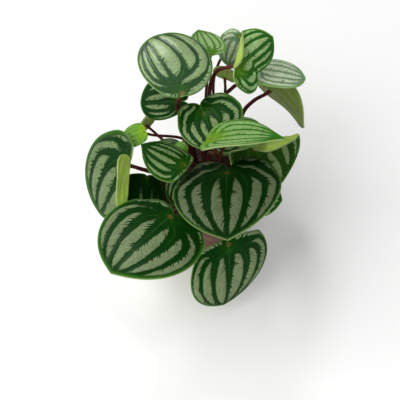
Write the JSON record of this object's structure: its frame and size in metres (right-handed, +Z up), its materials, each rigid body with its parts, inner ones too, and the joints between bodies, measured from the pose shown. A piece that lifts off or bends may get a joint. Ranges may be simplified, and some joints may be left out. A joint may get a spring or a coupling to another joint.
{
  "type": "potted peperomia",
  "caption": "Bushy potted houseplant: broad pointed shield-shaped leaves, silver between dark green veins, on slender maroon stalks in a small round nursery pot.",
  "frame": {"origin": "centre of the underside of the pot, on the plane the pot stands on", "axes": "+Z up out of the pot; -Y toward the side from which the plant is looked down on; +X to the right from there"},
  "size_m": [0.1333, 0.1554, 0.1489],
  "materials": {
    "leaf": "satin",
    "young_leaf": "satin",
    "stalk": "satin",
    "soil": "matte",
    "pot": "matte"
  },
  "bodies": {
    "root": {"pot": "pot", "soil": "soil", "leaf_01_stalk": "stalk", "leaf_01_blade": "leaf", "leaf_02_stalk": "stalk", "leaf_02_blade": "leaf", "leaf_03_stalk": "stalk", "leaf_03_blade": "leaf", "leaf_04_stalk": "stalk", "leaf_04_blade": "leaf", "leaf_05_stalk": "stalk", "leaf_05_blade": "leaf", "leaf_06_stalk": "stalk", "leaf_06_blade": "leaf", "leaf_07_stalk": "stalk", "leaf_07_blade": "leaf", "leaf_08_stalk": "stalk", "leaf_08_blade": "leaf", "leaf_09_stalk": "stalk", "leaf_09_blade": "leaf", "leaf_10_stalk": "stalk", "leaf_10_blade": "young_leaf", "leaf_11_stalk": "stalk", "leaf_11_blade": "leaf", "leaf_12_stalk": "stalk", "leaf_12_blade": "leaf", "leaf_13_stalk": "stalk", "leaf_13_blade": "leaf", "leaf_14_stalk": "stalk", "leaf_14_blade": "leaf", "leaf_15_stalk": "stalk", "leaf_15_blade": "leaf", "leaf_16_stalk": "stalk", "leaf_16_blade": "leaf", "leaf_17_stalk": "stalk", "leaf_17_blade": "leaf", "leaf_18_stalk": "stalk", "leaf_18_blade": "leaf", "leaf_19_stalk": "stalk", "leaf_19_blade": "leaf", "leaf_20_stalk": "stalk", "leaf_20_blade": "leaf", "leaf_21_stalk": "stalk", "leaf_21_blade": "leaf", "leaf_22_stalk": "stalk", "leaf_22_blade": "leaf", "leaf_23_stalk": "stalk", "leaf_23_blade": "leaf", "leaf_24_stalk": "stalk", "leaf_24_blade": "leaf", "leaf_25_stalk": "stalk", "leaf_25_blade": "leaf", "leaf_26_stalk": "stalk", "leaf_26_blade": "young_leaf"}
  },
  "joints": []
}
